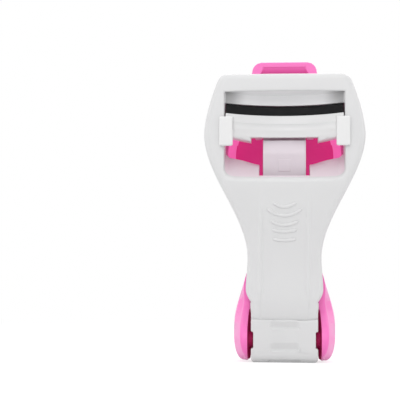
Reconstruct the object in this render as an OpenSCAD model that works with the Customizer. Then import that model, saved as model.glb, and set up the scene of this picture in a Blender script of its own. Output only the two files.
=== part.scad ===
// Compact lash curler: a white frame with a window, a pink lever on a hinge pin,
// and a sliding jaw with a soft pad that a push link draws down as the lever opens.
// Millimetres. X is the width, -Y is the lever's side, +Y is the eye side, Z is up.

/* [Lever] */
// Height of the lever's tab above the base
lever_h = 86; // [81:0.5:92]
// Width of the tab at the lever's top
tab_w = 18.8; // [14:0.2:20]
// Height of the crease below the tab
tab_z = 71.4; // [68:0.2:73]
// Width of the lever at that crease
tab_foot_w = 27; // [23:0.2:30]
// Height of the crease above the belly
belly_z = 62.4; // [60:0.2:65]
// Width of the lever across its belly
belly_w = 36.8; // [33:0.2:38]
// Width of the lever at its waist
lever_waist_w = 19.8; // [19:0.2:21]
// Width across the two hinge ears
ears_w = 28.8; // [25:0.2:31]
// Front face of the tab
tab_y = -8.2; // [-9.5:0.1:-7.8]
// Front face of the belly
belly_y = -11.2; // [-13:0.1:-10]
// Front face of the waist
waist_y = -8.6; // [-9.4:0.1:-8.4]
// Wall of the lever
lever_t = 1.9; // [1.6:0.1:2.1]
// Rounding of the lever's front edge
lever_edge = 1.6; // [1:0.1:2.2]
// Half width of the centre tongue
tongue_hw = 7.4; // [6.8:0.1:7.8]

/* [Frame] */
// Height of the frame above the base
frame_h = 80.3; // [76:0.1:84]
// Width of the frame across its head
head_w = 45; // [41:0.2:50]
// Depth of the widest place of the head below the frame's top
head_drop = 16.7; // [15.6:0.1:18]
// Width of the head at its top
head_top_w = 36; // [34.5:0.5:40]
// Width of the frame at its waist
waist_w = 20.6; // [20:0.2:22.5]
// Height of the waist
waist_z = 29; // [27:0.5:31]
// Width of the frame just above the hinge ears
heel_w = 21.6; // [21.5:0.1:23]
// Back face of the head
head_back = 9.4; // [9:0.1:11]
// Back face of the handle
handle_back = 6.8; // [6.6:0.1:8]
// Wall of the frame
frame_t = 1.9; // [1.6:0.1:2.1]
// Rounding of the frame's back edge
frame_edge = 1.8; // [1:0.1:2.4]
// Width of the frame beside the window
side_w = 5.8; // [5.4:0.1:6.2]
// Height of the window
window_h = 24.7; // [24:0.1:26]
// Height of the bar above the window
top_bar_h = 4.7; // [4:0.1:6]

/* [Hinge] */
// Height of the hinge pin above the base
hinge_z = 6.2; // [5.8:0.1:6.8]
// Radius of the hinge pin
pin_r = 1.1; // [0.8:0.05:1.2]
// Thickness of the base bar
base_t = 2.6; // [2:0.1:2.7]
// Thickness of each clevis arm
arm_t = 1.6; // [1.2:0.1:1.8]
// Height of the hinge cover
cover_h = 11.9; // [11:0.1:12.2]
// Thickness of the hinge cover
cover_t = 2.2; // [1.6:0.1:2.4]
// Wire of the torsion spring
wire_r = 0.3; // [0.2:0.05:0.35]
// Turns of the torsion spring
spring_turns = 6; // [3:1:8]

/* [Jaws] */
// Depth of the upper jaw's edge below the frame's top
jaw_drop = 8; // [7.4:0.1:8.6]
// Depth of the lash line's curve across the window
jaw_bow = 5.78; // [4.8:0.02:5.9]
// Depth of the lash line at its middle
jaw_y = 1; // [0.5:0.1:2]
// Thickness of the upper jaw's edge
jaw_t = 2; // [1.4:0.1:2.2]
// Width of the lash pad
pad_w = 2.6; // [2.2:0.1:3]
// Height of the lash pad
pad_h = 3.4; // [3:0.1:4]
// How far the pad sits in its groove
pad_seat = 1.2; // [0.8:0.1:1.5]
// Height of the jaw slider's bar
bar_h = 8.2; // [7.4:0.1:8.6]
// Half width of the push link where it shows
link_hw = 6.1; // [5:0.1:6.4]
// Thickness of the push link
link_t = 2; // [1.6:0.1:2.4]
// Radius of the two link pins
link_pin_r = 0.8; // [0.6:0.05:0.9]

/* [Lock] */
// Width of the lock button
button_w = 12.2; // [10:0.2:12.6]
// Length of the lock button
button_l = 19; // [15:0.5:19.5]
// Height of the button's middle
button_z = 23.7; // [23:0.1:24]
// Travel of the lock button
button_travel = 4; // [3:0.1:4.2]

/* [Fits] */
// Gap round a pin that turns
run_gap = 0.05; // [0.03:0.01:0.08]
// Gap between parts that slide or swing past each other
slide_gap = 0.3; // [0.2:0.05:0.35]
// Gap between the pad and the upper jaw when closed
pad_gap = 0.2; // [0.15:0.05:0.4]
// Gap round the lower link pin in the lever
loose_gap = 0.42; // [0.4:0.01:0.5]

/* [Hidden] */
$fn = 64;
far = 40;
tiny = 0.02;

// Head
head_z = frame_h - head_drop;
window_hw = head_w / 2 - side_w;
window_z = frame_h - top_bar_h - window_h;
jaw_z = frame_h - jaw_drop;
rim_drop = 8.9;
rim_z = window_z - rim_drop;
rim_h = 10;

// Hinge
hinge_y = 0.5;
ear_lift = 0.3;
ear_r = hinge_z - ear_lift;
arm_r = hinge_z - 0.2;
knuckle_r = hinge_z - base_t - 0.2;
arm_in = tongue_hw + slide_gap;
arm_out = arm_in + arm_t;
ear_in = arm_out + slide_gap;
spring_wall = 1.2;
spring_gap = 0.1;
spring_r = knuckle_r - spring_wall;
spring_mean = spring_r - wire_r - spring_gap;
spring_hw = 3.4;
leg_a = 41;
leg_back = 3;
leg_up = 7;
pin_hw = ears_w / 2 - 0.9;
cover_y = hinge_y + knuckle_r + slide_gap;
cover_back = cover_y + cover_t;
grip_hw = 4.3;
grip_h = 1.7;

// Jaws
jaw_r = (pow(window_hw, 2) + pow(jaw_bow, 2)) / (2 * jaw_bow);
jaw_cy = jaw_y + jaw_r;
pad_top = jaw_z - pad_gap;
pad_low = pad_top - pad_h;
bar_top = pad_low + pad_seat;
bar_low = bar_top - bar_h;
groove_wall = 0.8;
bar_out = pad_w / 2 + groove_wall;
rib_top = bar_low + 0.5 * bar_h;
slot_hw = link_hw + 1;
notch_hw = link_hw + 3.3;
top_lug_in = link_hw + slide_gap;
top_lug_t = 2;
web_out = window_hw - slide_gap;
web_t = 2.1;
web_in = web_out - web_t;
rail_y = 0;
channel_lap = 3;
channel_hw = window_hw + channel_lap;
jaw_travel = 5.8;
channel_z = bar_low - jaw_travel;
ramp_front = channel_z + 0.1;
block_out = channel_hw - slide_gap;
block_y0 = -2.6;
clip_lap = 1.4;
clip_out = window_hw + clip_lap;
clip_t = 1.2;
clip_h = 7.4;
clip_low = bar_low - 1;
peg_r = 0.6;
peg_l = 2;
peg_edge = 2.6;
peg_pitch = 3.4;
clip_pegs = [clip_low + peg_edge, clip_low + peg_edge + peg_pitch];

// Linkage: upper pivot on the slider, lower pivot in the lever
top_pivot = [-3.2, bar_low + 3];
low_pivot = [-4.2, 17];
low_hole = [-4.08, 16.71];
top_barrel_r = link_pin_r + 1.2;
low_barrel_r = link_pin_r + 0.85;
low_link_hw = 4.3;
lug_t = 1.8;
low_lug_in = low_link_hw + slide_gap;

// Lock
plate_y = waist_y + lever_t + 0.25;
plate_t = 1.2;
plate_hw = lever_waist_w / 2 - lever_t - 0.5;
plate_low = 20.2;
plate_top = 38.8;
opening_w = button_w + 1;
opening_h = button_l + button_travel + 1.2;
opening_z = button_z + (opening_h - button_l) / 2 - 0.4;
hook_x = link_hw + slide_gap;
hook_w = plate_hw - hook_x;
hook_top = 33.6;
hook_low = hook_top - button_travel - 1.3;
catch_low = hook_top + 0.6;
catch_y = -2.3;
catch_t = 1.3;

// Outlines
function ease(t) = let (c = min(1, max(0, t))) c * c * (3 - 2 * c);
function mix(a, b, t) = a + (b - a) * t;
function arch(t) = sin(90 * min(1, max(0, t)));
function steps(a, b, n) = [for (i = [0:n - 1]) mix(a, b, i / n)];

// The lever narrows in arcs from its belly to the tab, the waist and out to the ears
belly_low = 57;
lever_waist_top = 32;
lever_waist_low = 29;
ears_z = 10;
function lever_hw(z) =
    z > tab_z ? mix(tab_foot_w, tab_w, (z - tab_z) / (lever_h - 3 - tab_z) < 1
        ? (z - tab_z) / (lever_h - 3 - tab_z) : 1) / 2
    : z > belly_low ? mix(tab_foot_w, belly_w, arch((tab_z - z) / (tab_z - belly_z + 3))) / 2
    : z > lever_waist_low
        ? mix(belly_w, lever_waist_w, ease((belly_low - z) / (belly_low - lever_waist_top))) / 2
    : mix(lever_waist_w, ears_w, ease((lever_waist_low - z) / (lever_waist_low - ears_z))) / 2;
function lever_front(z) =
    z > tab_z ? tab_y
    : z > belly_z ? mix(belly_y, tab_y, (z - belly_z) / (tab_z - belly_z))
    : mix(waist_y, belly_y, ease((z - 37) / (belly_z - 37)));
function lever_rim(z) = mix(-1.6, -3.3, ease((z - rim_z) / rim_h));

// The frame narrows from its head to the top, the waist and the heel
heel_z = 20.2;
foot_z = 16.6;
function frame_hw(z) =
    z > head_z ? mix(head_w, head_top_w, pow((z - head_z) / (frame_h - head_z), 2)) / 2
    : z > waist_z ? mix(head_w, waist_w, ease((head_z - z) / (head_z - waist_z))) / 2
    : z > heel_z ? mix(waist_w, heel_w, ease((waist_z - z) / (waist_z - heel_z))) / 2
    : z > foot_z ? mix(arm_out, heel_w / 2, arch((z - foot_z) / (heel_z - foot_z)))
    : arm_out;
function frame_back(z) = mix(handle_back, head_back, ease((z - 22) / 26));
function frame_front(z) = mix(-1.2, -2.9, ease((z - rim_z) / rim_h));

// One closed ring of the lever at height z, drawn in by d near the tip
function lever_ring(z, d) =
    let (w = lever_hw(z) - d, f = lever_front(z) + 0.7 * d, e = lever_edge, r = lever_rim(z))
    [[-w, r, z], [-w, f + e, z], [-w + 0.3 * e, f + 0.3 * e, z], [-w + e, f, z], [0, f - 0.5, z],
     [w - e, f, z], [w - 0.3 * e, f + 0.3 * e, z], [w, f + e, z], [w, r, z]];
function lever_hollow(z) =
    let (w = lever_hw(z) - lever_t, f = lever_front(z) + lever_t, e = 0.6)
    [[-w, 0, z], [-w, f + e, z], [-w + e, f, z], [w - e, f, z], [w, f + e, z], [w, 0, z]];

// One closed ring of the frame at height z, drawn in by d near the top
function frame_ring(z, d) =
    let (w = frame_hw(z) - d, b = frame_back(z) - 0.5 * d, e = frame_edge, f = frame_front(z))
    [[-w, f, z], [w, f, z], [w, b - e, z], [w - 0.3 * e, b - 0.3 * e, z], [w - e, b, z], [0, b + 0.3, z],
     [-w + e, b, z], [-w + 0.3 * e, b - 0.3 * e, z], [-w, b - e, z]];

lever_low = 15.6;
tip_r = 2.2;
lever_zs = concat(steps(lever_low, lever_waist_low, 6), steps(lever_waist_low, lever_waist_top, 2),
    steps(lever_waist_top, belly_low, 12), steps(belly_low, belly_z, 3), steps(belly_z, tab_z, 5),
    steps(tab_z, lever_h - tip_r, 4), [for (a = [0:18:90]) lever_h - tip_r + tip_r * sin(a)]);
hollow_zs = concat(steps(lever_low - 1, lever_waist_low, 5), steps(lever_waist_low, lever_waist_top, 2),
    steps(lever_waist_top, belly_low, 9), steps(belly_low, belly_z, 2), steps(belly_z, tab_z, 3),
    [tab_z, lever_h - 3, lever_h - lever_t]);
crown_r = 1.8;
frame_zs = concat([cover_h + 0.2], steps(foot_z, heel_z, 5), steps(heel_z, waist_z, 4),
    steps(waist_z, head_z, 14), steps(head_z, frame_h - crown_r, 6),
    [for (a = [0:22.5:90]) frame_h - crown_r + crown_r * sin(a)]);

// Solid through a stack of rings that run the same way round
module loft(rings) {
    n = len(rings[0]);
    m = len(rings);
    polyhedron(points = [for (r = rings) each r], faces = concat(
        [[for (j = [0:n - 1]) j], [for (j = [n - 1:-1:0]) (m - 1) * n + j]],
        [for (i = [0:m - 2], j = [0:n - 1]) [i * n + j, (i + 1) * n + j, (i + 1) * n + (j + 1) % n]],
        [for (i = [0:m - 2], j = [0:n - 1]) [i * n + j, (i + 1) * n + (j + 1) % n, i * n + (j + 1) % n]]));
}
module along_x(x0, x1) { translate([x0, 0, 0]) rotate([90, 0, 90]) linear_extrude(x1 - x0) children(); }
module along_y(y0, y1) { translate([0, y1, 0]) rotate([90, 0, 0]) linear_extrude(y1 - y0) children(); }
module rod(x0, x1, p, r) { translate([x0, p[0], p[1]]) rotate([0, 90, 0]) cylinder(h = x1 - x0, r = r); }
module box(a, b) { translate(a) cube(b - a); }
module pair() {
    children();
    mirror([1, 0, 0]) children();
}
// Part of a ring about the lash line's centre
module lash_arc(inner, outer, z0, z1, hw) {
    intersection() {
        translate([0, jaw_cy, z0]) difference() {
            cylinder(h = z1 - z0, r = outer, $fn = 180);
            translate([0, 0, -1]) cylinder(h = z1 - z0 + 2, r = inner, $fn = 180);
        }
        box([-hw, -far, z0 - 1], [hw, jaw_cy - 5, z1 + 1]);
    }
}
module oval(w, h) { polygon([for (a = [0:7.5:352.5]) [w / 2 * cos(a), h / 2 * sin(a)]]); }

hinge = [hinge_y, hinge_z];

module frame() {
    color([0.93, 0.93, 0.93]) difference() {
        union() {
            difference() {
                loft([for (z = frame_zs) frame_ring(z, z > frame_h - crown_r
                    ? crown_r - sqrt(pow(crown_r, 2) - pow(z - frame_h + crown_r, 2)) : 0)]);
                handle_hollow();
                difference() {
                    head_hollow();
                    hood_panel();
                }
            }
            upper_jaw();
            pair() clevis_arm();
            box([-arm_out, hinge_y - 4.6, 0], [arm_out, cover_y - tiny, base_t]);
            pair() lock_catch();
        }
        rod(-far, far, hinge, pin_r + tiny);
    }
}
// The handle is a channel, open to the lever, with its top under the ramp
module handle_hollow() {
    zs = concat([-1, foot_z], steps(foot_z + 0.5, heel_z, 3), steps(heel_z, window_z + 4, 14),
        [window_z + 8]);
    intersection() {
        along_y(-far, far) polygon(concat(
            [for (z = zs) [frame_hw(z) - frame_t, z]],
            [for (i = [len(zs) - 1:-1:0]) [frame_t - frame_hw(zs[i]), zs[i]]]));
        along_x(-far, far) polygon(concat(
            [for (z = concat([-1], steps(20, window_z - 2, 9))) [frame_back(z) - frame_t, z]],
            [[head_back - frame_t, window_z - 2], [rail_y, ramp_front - 2],
             [-far, ramp_front - 2], [-far, -1]]));
    }
    box([-slot_hw, -far, window_z - 8], [slot_hw, head_back - frame_t, ramp_front + 1]);
}
// The pocket in front of the rails, the window and the room in front of the upper jaw
module head_hollow() {
    roof = frame_h - frame_t;
    zs = concat(steps(jaw_z + 0.2, roof, 5), [roof]);
    side = concat([[channel_hw, channel_z], [channel_hw, jaw_z]],
        [for (z = zs) [min(channel_hw, frame_hw(z) - frame_t), z]]);
    along_y(-far, rail_y) polygon(concat(side,
        [for (i = [len(side) - 1:-1:0]) [-side[i][0], side[i][1]]]));
    intersection() {
        along_y(-far, far) window_outline();
        along_x(-far, far) polygon([[-far, ramp_front], [rail_y, ramp_front], [head_back + 0.4, window_z],
            [far, window_z], [far, frame_h - top_bar_h], [-far, frame_h - top_bar_h]]);
    }
    difference() {
        box([-window_hw, -far, frame_h - top_bar_h - 0.1], [window_hw, far / 2, roof]);
        translate([0, jaw_cy, 0]) cylinder(h = 2 * far + 20, r = jaw_r + jaw_t / 2, $fn = 180);
    }
}
// Front wall of the hood, between the frame's rim and the upper jaw
module hood_panel() {
    box([-far, frame_front(jaw_z) + 0.9, jaw_z + 0.5], [far, rail_y + 0.2, frame_h + 1]);
}
module window_outline() {
    r = 2.8;
    polygon(concat([[window_hw, frame_h], [-window_hw, frame_h]],
        [for (a = [180:15:270]) [-window_hw + r + r * cos(a), window_z + r + r * sin(a)]],
        [for (a = [270:15:360]) [window_hw - r + r * cos(a), window_z + r + r * sin(a)]]));
}
module upper_jaw() {
    lash_arc(jaw_r - jaw_t / 2, jaw_r + jaw_t / 2, jaw_z, frame_h - frame_t + 0.1, window_hw + 0.3);
}
module clevis_arm() {
    along_x(arm_in, arm_out) difference() {
        union() {
            translate(hinge) circle(r = arm_r);
            polygon([[hinge_y - 4.6, 0], [cover_y - tiny, 0], [cover_y - tiny, cover_h],
                [frame_back(14) - 1, cover_h + 0.4], [frame_back(14) - 1, foot_z + 0.6],
                [frame_front(20) + 0.1, foot_z + 1], [hinge_y - 4.2, foot_z + 0.2],
                [hinge_y - arm_r + 0.2, foot_z - 1.8], [hinge_y - arm_r, hinge_z + 1]]);
        }
        translate([cover_y - tiny, -1]) square([far, cover_h + 1.2]);
        translate([-far, -2]) square([2 * far, 2]);
    }
}
// A lip that the lock's hook passes behind when the button is slid up
module lock_catch() {
    top = hook_top + button_travel + 0.6;
    along_x(hook_x - 0.1, hook_x + hook_w + 0.3) polygon([[catch_y, catch_low],
        [catch_y + catch_t, catch_low], [catch_y + catch_t, top], [frame_back(top) - frame_t + 0.4, top],
        [frame_back(top) - frame_t + 0.4, top + 1.8], [catch_y, top + 1.8]]);
}

module hinge_cover() {
    color([0.9, 0.9, 0.9]) difference() {
        along_x(-arm_out, arm_out) difference() {
            union() {
                translate([cover_y, 2]) square([cover_t, cover_h - 2]);
                intersection() {
                    translate([cover_back - 3, 3]) circle(r = 3);
                    translate([cover_y, 0]) square([far, 3]);
                }
                translate([cover_y, 0]) square([max(0.1, cover_t - 2), 3]);
            }
        }
        for (z = [cover_h - 1.1, 0.38 * cover_h])
            box([-grip_hw, cover_back - 0.35, z - grip_h / 2], [grip_hw, far, z + grip_h / 2]);
        pair() box([arm_out - 0.6, -far, hinge_z - 2.3], [far, far, hinge_z + 2.3]);
    }
}

module hinge_pin() {
    color([0.75, 0.76, 0.78]) rod(-pin_hw, pin_hw, hinge, pin_r);
}

// Coil about the hinge pin, with one leg towards the cover and one up the back of the tongue
module torsion_spring() {
    start = 95;
    sweep = 360 * spring_turns + leg_a - start;
    count = 14 * spring_turns;
    span = 2 * (spring_hw - wire_r - 0.3);
    // Wire ring at share t of the coil, moved along the coil's tangent by s
    function wire(t, s) = let (u = start + sweep * t)
        [for (a = [0:60:300]) let (r = spring_mean + wire_r * cos(a))
            [span * (t - 0.5) + wire_r * sin(a),
             hinge_y + r * cos(u) - s * sin(u), hinge_z + r * sin(u) + s * cos(u)]];
    color([0.7, 0.71, 0.73])
        loft(concat([wire(0, -leg_back)], [for (i = [0:count]) wire(i / count, 0)], [wire(1, leg_up)]));
}

module lever() {
    color([1, 0.5, 0.78]) difference() {
        union() {
            difference() {
                loft([for (z = lever_zs) lever_ring(z, z > lever_h - tip_r
                    ? tip_r - sqrt(max(0, pow(tip_r, 2) - pow(z - lever_h + tip_r, 2))) : 0)]);
                loft([for (z = hollow_zs) lever_hollow(z)]);
                pair() tongue_slot();
            }
            tongue();
            pair() ear();
            pair() low_lug();
            pair() slide_ledge();
        }
        translate([0, 0, opening_z]) along_y(-far, plate_y + 0.1) oval(opening_w, opening_h);
        rod(-far, far, hinge, pin_r + run_gap);
        rod(-low_lug_in - lug_t - 1, low_lug_in + lug_t + 1, low_hole, link_pin_r + loose_gap);
        rod(-spring_hw - 0.2, spring_hw + 0.2, hinge, spring_r + 0.15);
    }
}
module tongue_slot() {
    mid = (tongue_hw + ear_in) / 2;
    translate([mid, far, 16.6]) rotate([90, 0, 0]) cylinder(h = 2 * far, r = (ear_in - tongue_hw) / 2);
    box([tongue_hw, -far, 0], [ear_in, far, 16.6]);
}
module tongue() {
    // The back of the tongue lies along the spring's upper leg
    function back(k) = hinge + (spring_mean - wire_r - 0.1) * [cos(leg_a), sin(leg_a)]
        + k * [-sin(leg_a), cos(leg_a)];
    pair() rod(spring_hw + 0.2, tongue_hw, hinge, knuckle_r);
    intersection() {
        rod(-spring_hw - 0.3, spring_hw + 0.3, hinge, knuckle_r);
        box([-far, -far, 0], [far, hinge_y - 1.2, far]);
    }
    along_x(-tongue_hw, tongue_hw) polygon([[waist_y - 0.4, 16.9], [waist_y + 0.2, 15.6],
        [hinge_y - knuckle_r, hinge_z], back(2.4), back(12), [waist_y + lever_t, 16.9]]);
}
module ear() {
    zs = steps(ears_z - 1, lever_waist_low - 4, 6);
    intersection() {
        along_x(ear_in, far) union() {
            translate(hinge) circle(r = ear_r);
            polygon([[lever_front(20) + 0.9, lever_waist_low - 4], [lever_front(20) + 0.5, foot_z],
                [hinge_y - ear_r, hinge_z], [hinge_y + ear_r, hinge_z], [hinge_y + 4.4, hinge_z + 5.4],
                [lever_rim(20), foot_z - 0.4], [lever_rim(20), lever_waist_low - 4]]);
        }
        along_y(-far, far) polygon(concat([[ear_in, lever_waist_low - 4], [ear_in, 0]],
            [for (a = [-90:15:-15]) [ears_w / 2 - 4.2 + 4.2 * cos(a), ears_z - 1 + (ears_z - 1.2) * sin(a)]],
            [for (z = zs) [lever_hw(z), z]], [[lever_hw(lever_waist_low - 4), lever_waist_low - 4]]));
    }
}
module low_lug() {
    along_x(low_lug_in, low_lug_in + lug_t) intersection() {
        union() {
            translate(low_hole) circle(r = link_pin_r + loose_gap + 1.1);
            translate([waist_y + lever_t - 0.4, low_hole[1] - 3])
                square([low_hole[0] - waist_y - lever_t + 0.4, 5]);
        }
        translate([waist_y + lever_t - 0.5, 0]) square([far, far]);
    }
}
module slide_ledge() {
    y = plate_y + plate_t + 0.2;
    // The gap between the two ledges is the hook's way
    for (span = [[plate_low + 0.6, hook_low - 0.3], [hook_low + 1.4 + button_travel, plate_top - 1]])
        box([plate_hw - 0.6, y, span[0]], [lever_waist_w / 2 - 1, y + 0.9, span[1]]);
}

module lock_button() {
    color([0.88, 0.88, 0.88]) union() {
        translate([0, 0, button_z]) along_y(waist_y - 0.5, plate_y) oval(button_w, button_l);
        translate([0, 0, button_z]) along_y(waist_y - 1.2, waist_y) oval(button_w - 1.4, button_l - 1.6);
        for (i = [-2:2])
            translate([0, waist_y - 1.2, button_z + 1.9 * i]) rotate([0, 90, 0])
                cylinder(h = button_w / 2, r = 0.35, center = true, $fn = 16);
        for (z = [button_z - 1, button_z + 4]) translate([0, plate_y + plate_t, z]) rotate([90, 0, 0])
            cylinder(h = plate_t + 0.5, r = 0.9);
    }
}
// Plate behind the lever's wall that carries the button and two hooks
module lock_slide() {
    color([0.9, 0.88, 0.9]) difference() {
        union() {
            box([-plate_hw, plate_y, plate_low], [plate_hw, plate_y + plate_t, plate_top]);
            pair() along_x(hook_x, hook_x + hook_w) polygon([[plate_y + 0.5, hook_low],
                [catch_y + catch_t + 0.4 + 1.4, hook_low], [catch_y + catch_t + 0.4 + 1.4, hook_top],
                [catch_y + catch_t + 0.4, hook_top], [catch_y + catch_t + 0.4, hook_low + 1.1],
                [plate_y + 0.5, hook_low + 1.1]]);
        }
        for (z = [button_z - 1, button_z + 4]) translate([0, far, z]) rotate([90, 0, 0])
            cylinder(h = 2 * far, r = 0.9 + tiny);
    }
}

module jaw_slider() {
    color([0.92, 0.92, 0.92]) difference() {
        union() {
            lash_arc(jaw_r - bar_out, jaw_r + bar_out, bar_low, bar_top, web_out);
            lash_arc(jaw_r - bar_out - 0.5, jaw_r, bar_low, rib_top, web_in + 0.1);
            lash_arc(jaw_r + pad_w / 2 + tiny, jaw_r + bar_out, bar_top - 0.5, bar_top + 0.9, web_out);
            pair() box([web_in, rail_y - slide_gap - 0.4, bar_low + 0.4],
                [web_out, head_back + slide_gap, bar_top - 1.5]);
            pair() end_block();
            pair() top_lug();
        }
        lash_arc(jaw_r - pad_w / 2 - tiny, jaw_r + pad_w / 2 + tiny, pad_low - tiny, far * 2, far);
        box([-notch_hw, -far, bar_low - 1], [notch_hw, far, bar_low + 1.1]);
        box([-top_lug_in, -far, bar_low - 1], [top_lug_in, jaw_y - 0.5, bar_low + 6]);
        rod(-far, far, top_pivot, link_pin_r + tiny);
        pair() for (z = clip_pegs)
            translate([(web_in + web_out) / 2, far, z]) rotate([90, 0, 0])
                cylinder(h = far - head_back - slide_gap + peg_l + 0.1, r = peg_r + tiny);
    }
}
module end_block() {
    low = bar_low + 1.6;
    top = bar_top + 0.3;
    along_y(block_y0, rail_y - slide_gap) polygon([[web_in, low], [block_out, low], [block_out, top - 0.4],
        [web_out + 0.2, top + 0.9], [web_in, top]]);
}
module top_lug() {
    along_x(top_lug_in, top_lug_in + top_lug_t) union() {
        translate(top_pivot) circle(r = link_pin_r + 1.1);
        polygon([[top_pivot[0], top_pivot[1] - link_pin_r - 1.1], [jaw_y + 1, bar_low + 1.1],
            [jaw_y + 1, bar_low + 6], [top_pivot[0], top_pivot[1] + link_pin_r + 1.1]]);
    }
}

module lash_pad() {
    color([0.12, 0.12, 0.12]) union() {
        lash_arc(jaw_r - pad_w / 2, jaw_r + pad_w / 2, pad_low, pad_top - 0.5, web_out);
        lash_arc(jaw_r - pad_w / 2 + 0.4, jaw_r + pad_w / 2 - 0.4, pad_top - 0.6, pad_top, web_out);
    }
}

module clip_right() {
    color([0.94, 0.94, 0.94]) guide_clip();
}
module clip_left() {
    color([0.94, 0.94, 0.94]) mirror([1, 0, 0]) guide_clip();
}
// Clip that holds the slider to the back of its rail
module guide_clip() {
    y = head_back + slide_gap;
    union() {
        box([web_in, y, clip_low], [clip_out, y + clip_t, clip_low + clip_h]);
        for (z = clip_pegs)
            translate([(web_in + web_out) / 2, y + 0.3, z]) rotate([90, 0, 0])
                cylinder(h = peg_l + 0.3, r = peg_r);
    }
}

module push_link() {
    bend = [jaw_y - 0.1, bar_low - 2.4];
    knee = [jaw_y - 0.1, low_pivot[1] + 10];
    h = link_t / 2;
    color([0.86, 0.8, 0.84]) difference() {
        union() {
            rod(-link_hw, link_hw, top_pivot, top_barrel_r);
            along_x(-link_hw, link_hw) polygon([[top_pivot[0] - h, top_pivot[1] - 1],
                [top_pivot[0] + h + 0.3, top_pivot[1] + 0.8], [bend[0] + h + 0.2, bend[1] + h],
                [bend[0] + h, bend[1] - h], [bend[0] + h, window_z - 4],
                [bend[0] - h, window_z - 4], [bend[0] - h, bend[1]]]);
            along_x(-low_link_hw, low_link_hw) polygon([[bend[0] + h, window_z - 3],
                [bend[0] - h, window_z - 3], [knee[0] - h, knee[1]], [low_pivot[0] - h, low_pivot[1]],
                [low_pivot[0] + h, low_pivot[1]], [knee[0] + h, knee[1]]]);
            rod(-low_link_hw, low_link_hw, low_pivot, low_barrel_r);
            box([-4, bend[0], window_z + 2.6], [4, bend[0] + h + 0.25, window_z + 5.8]);
        }
        rod(-far, far, top_pivot, link_pin_r + run_gap);
        rod(-far, far, low_pivot, link_pin_r + tiny);
    }
}
module link_top_pin() {
    color([0.75, 0.76, 0.78]) rod(-top_lug_in - top_lug_t, top_lug_in + top_lug_t, top_pivot, link_pin_r);
}
module link_low_pin() {
    color([0.75, 0.76, 0.78]) rod(-low_lug_in - lug_t, low_lug_in + lug_t, low_pivot, link_pin_r);
}

frame();
hinge_cover();
hinge_pin();
torsion_spring();
lever();
lock_button();
lock_slide();
jaw_slider();
lash_pad();
clip_left();
clip_right();
push_link();
link_top_pin();
link_low_pin();
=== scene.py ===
import bpy
import bmesh
from math import sin, cos, pi, sqrt, radians, asin
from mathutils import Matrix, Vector
from mathutils.bvhtree import BVHTree


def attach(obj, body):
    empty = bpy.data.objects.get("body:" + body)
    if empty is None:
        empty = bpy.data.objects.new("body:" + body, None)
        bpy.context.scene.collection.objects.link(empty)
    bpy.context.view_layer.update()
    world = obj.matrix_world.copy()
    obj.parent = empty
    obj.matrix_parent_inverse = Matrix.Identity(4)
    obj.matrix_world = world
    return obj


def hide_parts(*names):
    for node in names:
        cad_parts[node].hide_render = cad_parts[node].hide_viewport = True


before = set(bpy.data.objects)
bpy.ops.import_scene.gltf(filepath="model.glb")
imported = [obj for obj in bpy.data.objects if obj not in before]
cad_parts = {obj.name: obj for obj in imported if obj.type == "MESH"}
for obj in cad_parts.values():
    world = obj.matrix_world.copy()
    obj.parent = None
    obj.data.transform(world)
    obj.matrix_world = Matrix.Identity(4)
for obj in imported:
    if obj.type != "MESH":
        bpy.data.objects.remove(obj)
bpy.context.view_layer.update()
scene = bpy.context.scene
mm = 0.001  # the pieces are sized in millimetres, the studio in metres
beyond = 40  # how far a cutter reaches past the part
tuck = 0.01  # keeps a fused piece's face just inside its neighbour's


# hand tools

def clearSelection():
    if bpy.context.mode != "OBJECT":
        bpy.ops.object.mode_set(mode="OBJECT")
    bpy.ops.object.select_all(action="DESELECT")


def pick(piece):
    clearSelection()
    piece.select_set(True)
    bpy.context.view_layer.objects.active = piece


def ease(t):
    t = min(1, max(0, t))
    return t * t * (3 - 2 * t)


def mix(a, b, t):
    return a + (b - a) * t


def glide(a, b, z, start, end):  # softly from a to b while z goes from start to end
    return mix(a, b, ease((z - start) / (end - start)))


def arch(t):
    return sin(pi / 2 * min(1, max(0, t)))


def spread(a, b, count):
    return [mix(a, b, i / count) for i in range(count + 1)]


def curve(a, b, radius, turns):  # points round a centre, turns in degrees
    return [(a + radius * cos(radians(t)), b + radius * sin(radians(t))) for t in turns]


def mirrored(side):  # one half of an outline, then the other
    return side + [(-x, other) for x, other in reversed(side)]


def bothSides(a, b):  # the span from a to b, left and right of the middle
    return [sorted((sign * a, sign * b)) for sign in (-1, 1)]


def openMesh(piece):  # edit mode with everything selected
    pick(piece)
    bpy.ops.object.mode_set(mode="EDIT")
    bpy.ops.mesh.select_all(action="SELECT")


def closeMesh():  # leaves edit mode with all faces turned outwards
    bpy.ops.mesh.select_all(action="SELECT")
    bpy.ops.mesh.normals_make_consistent(inside=False)
    bpy.ops.object.mode_set(mode="OBJECT")


def settled(name):  # the piece just added, with its place and turn made part of its mesh
    piece = bpy.context.object
    piece.name = name
    bpy.ops.object.transform_apply(location=True, rotation=True, scale=True)
    return piece


def sweep(name, rings):  # a filled ring, extruded from station to station
    clearSelection()
    bpy.ops.mesh.primitive_circle_add(vertices=len(rings[0]), radius=mm, fill_type="NGON")
    piece = bpy.context.object
    piece.name = name
    mesh = piece.data
    bpy.ops.object.mode_set(mode="EDIT")
    work = bmesh.from_edit_mesh(mesh)
    seat = work.verts.layers.int.new("seat")
    for index, vert in enumerate(work.verts):
        vert[seat] = index
        vert.co = Vector(rings[0][index]) * mm
    bmesh.update_edit_mesh(mesh)
    for ring in rings[1:]:
        bpy.ops.mesh.extrude_region_move()
        work = bmesh.from_edit_mesh(mesh)
        seat = work.verts.layers.int["seat"]
        for vert in work.verts:
            if vert.select:
                vert.co = Vector(ring[vert[seat]]) * mm
        bmesh.update_edit_mesh(mesh)
    closeMesh()
    mesh.attributes.remove(mesh.attributes["seat"])
    return piece


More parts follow.
